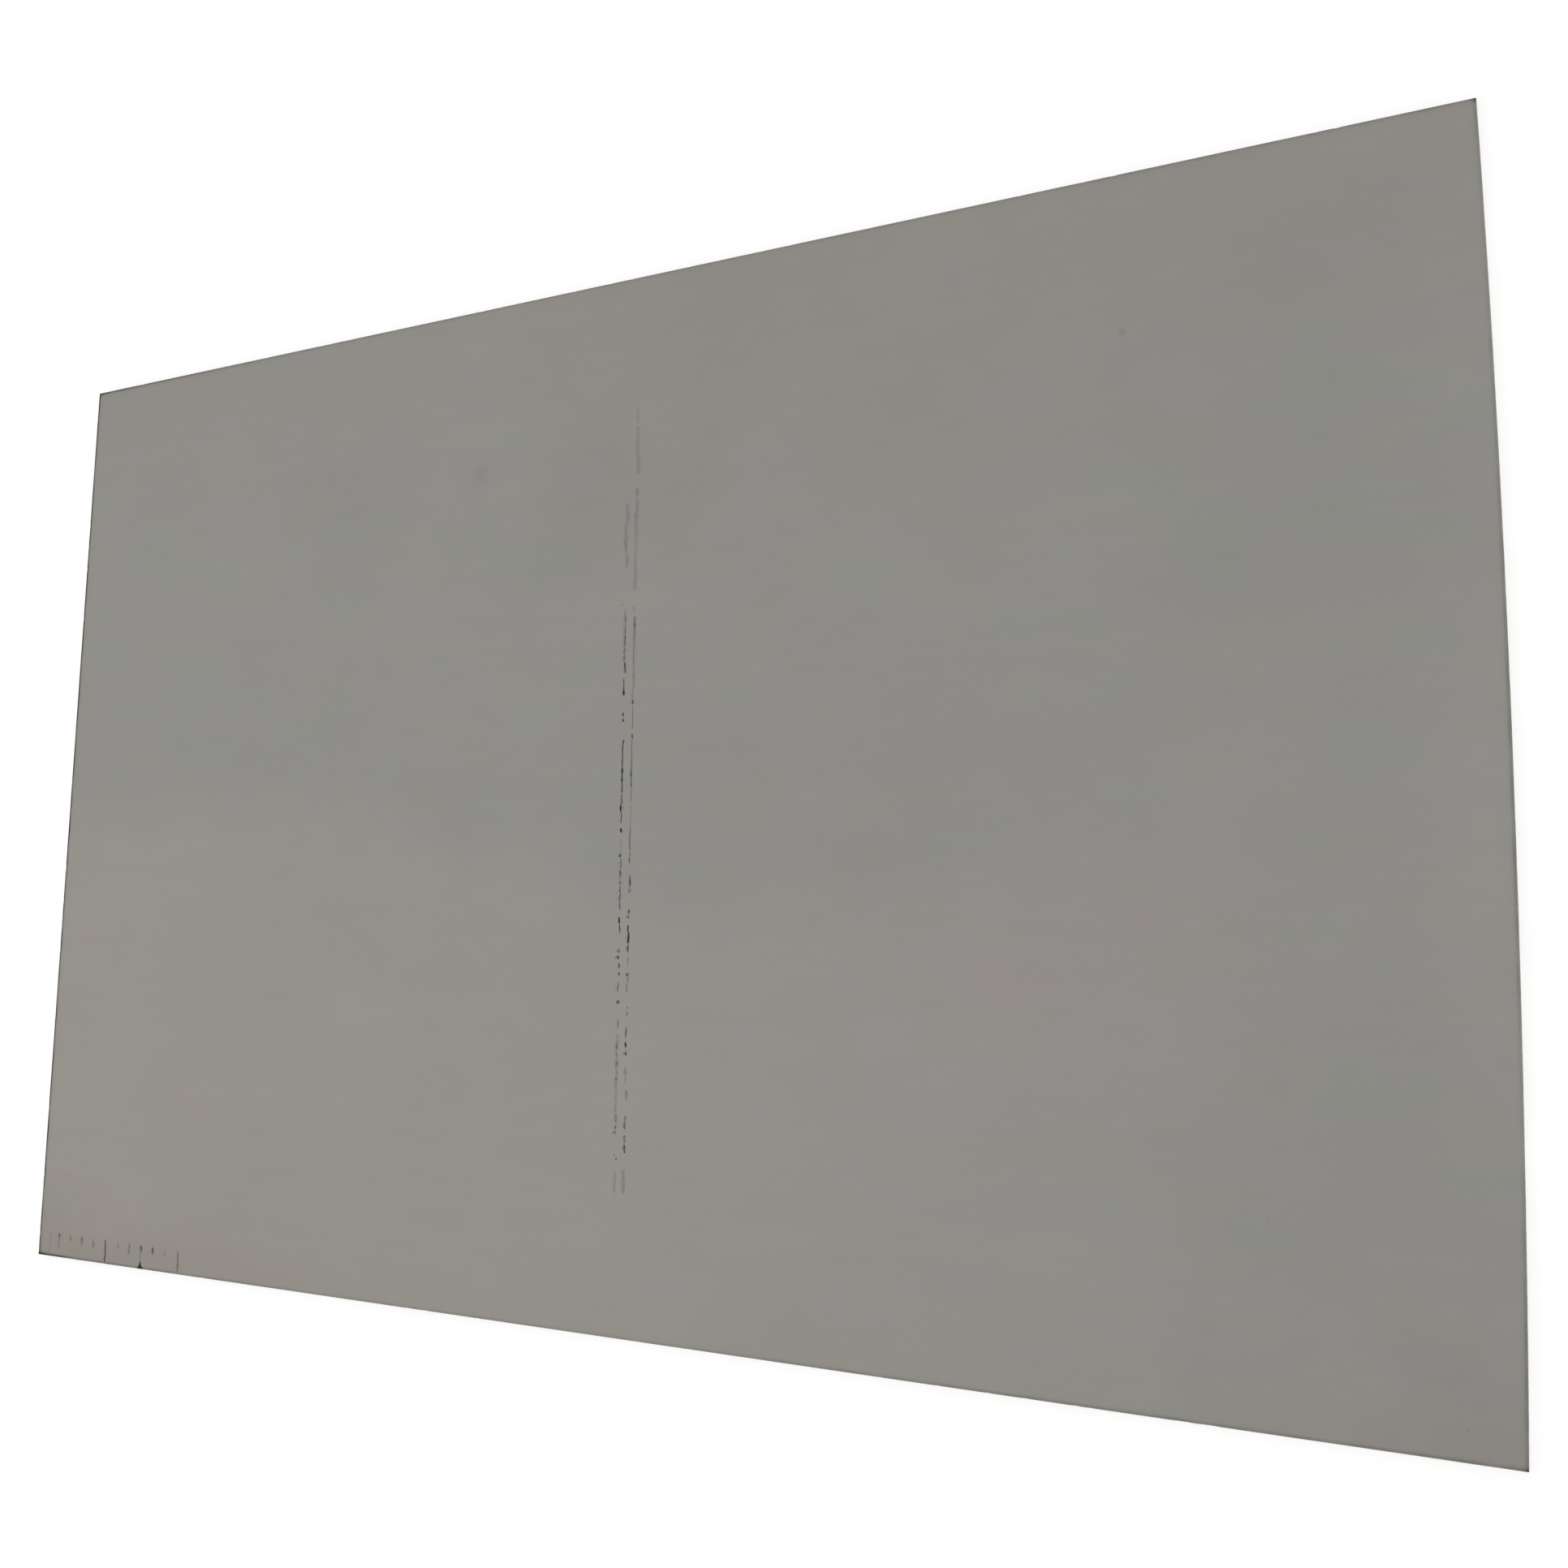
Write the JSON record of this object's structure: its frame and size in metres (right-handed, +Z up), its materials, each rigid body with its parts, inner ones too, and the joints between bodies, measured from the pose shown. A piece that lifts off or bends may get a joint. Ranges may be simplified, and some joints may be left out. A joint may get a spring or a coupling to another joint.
{
  "type": "fibre cement board",
  "caption": "Thin flat rectangular sheet of grey fibre cement with a smooth face and square-cut edges, laid face up, for backing tiles or lining walls and floors.",
  "frame": {"origin": "centre of the rough back, on the outline's overall box", "axes": "+X along the length, from the straight end to the bowed end; +Y along the width; +Z up, out of the smooth face"},
  "size_m": [1.2059, 0.8, 0.006],
  "materials": {
    "fibre_cement": "matt",
    "marking_ink": "matt"
  },
  "bodies": {
    "root": {"board": "fibre_cement"}
  },
  "joints": []
}
